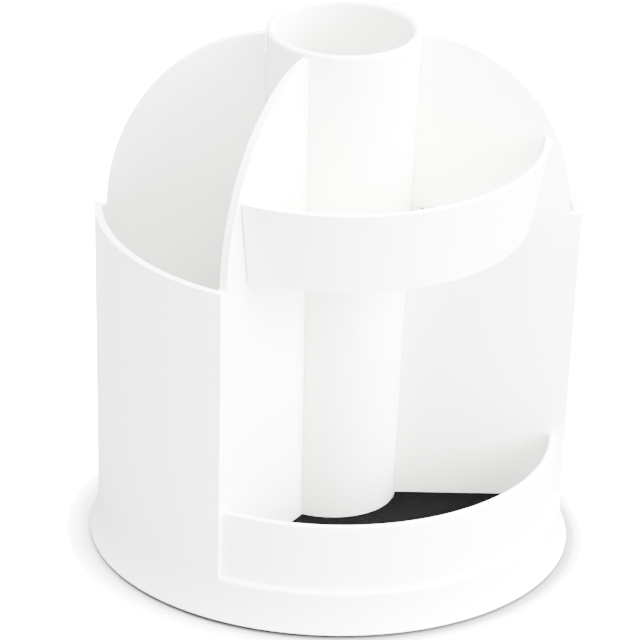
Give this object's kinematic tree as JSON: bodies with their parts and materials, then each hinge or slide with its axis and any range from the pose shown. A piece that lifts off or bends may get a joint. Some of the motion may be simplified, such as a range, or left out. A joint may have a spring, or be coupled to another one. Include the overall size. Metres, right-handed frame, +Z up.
{
  "type": "desk organizer",
  "caption": "Round turning desk organizer: closed tall bins and open compartments with lift-out trays and mats between arched panels, round a centre pencil cup.",
  "frame": {"origin": "on the table under the turning axis, at the underside of the rubber feet", "axes": "+Z up along the turning axis, -Y towards the viewer and the front open compartment, +X to the right along the straight panel"},
  "size_m": [0.1402, 0.14, 0.1595],
  "materials": {
    "white_shell": "smooth moulded white plastic, semi-gloss",
    "black_mat": "fine-grained black rubber foam, matt",
    "foot_plastic": "light grey moulded plastic, satin",
    "foot_rubber": "dark grey rubber, matt",
    "steel": "zinc-plated steel",
    "ball_steel": "polished steel",
    "acetal": "natural acetal, satin"
  },
  "bodies": {
    "foot": {"base_plate": "foot_plastic", "foot_pads": "foot_rubber", "pivot_bush": "acetal", "lower_race": "steel", "lower_race_rivets": "steel"},
    "bearing": {"ball_retainer": "acetal", "bearing_balls": "ball_steel"},
    "carousel": {"floor_shell": "white_shell", "upper_race": "steel", "upper_race_rivets": "steel", "pivot_screw": "steel", "pivot_washer": "steel", "bin_wall_left": "white_shell", "bin_wall_right": "white_shell", "lip_wall_front": "white_shell", "lip_wall_back": "white_shell", "divider_front_left": "white_shell", "divider_left": "white_shell", "divider_back_right": "white_shell", "divider_right": "white_shell", "center_cup": "white_shell", "cup_screws": "steel", "cup_mat": "black_mat", "mat_front": "black_mat", "mat_back": "black_mat", "mat_bin_left": "black_mat", "mat_bin_right": "black_mat"},
    "front_tray": {"tray_front": "white_shell"},
    "back_tray": {"tray_back": "white_shell"}
  },
  "joints": [
    {"name": "carousel_spin", "type": "hinge", "parent": "foot", "child": "carousel", "pos_m": [0, 0, 0], "axis": [0, 0, 1], "continuous": true},
    {"name": "bearing_spin", "type": "hinge", "parent": "foot", "child": "bearing", "pos_m": [0, 0, 0], "axis": [0, 0, 1], "continuous": true},
    {"name": "tray_front_lift", "type": "slide", "parent": "carousel", "child": "front_tray", "axis": [0, 0, 1], "range_m": [0, 0.06]},
    {"name": "tray_back_lift", "type": "slide", "parent": "carousel", "child": "back_tray", "axis": [0, 0, 1], "range_m": [0, 0.06]}
  ],
  "couplings": [
    {"joint": "bearing_spin", "follows": "carousel_spin", "ratio": 0.5}
  ]
}
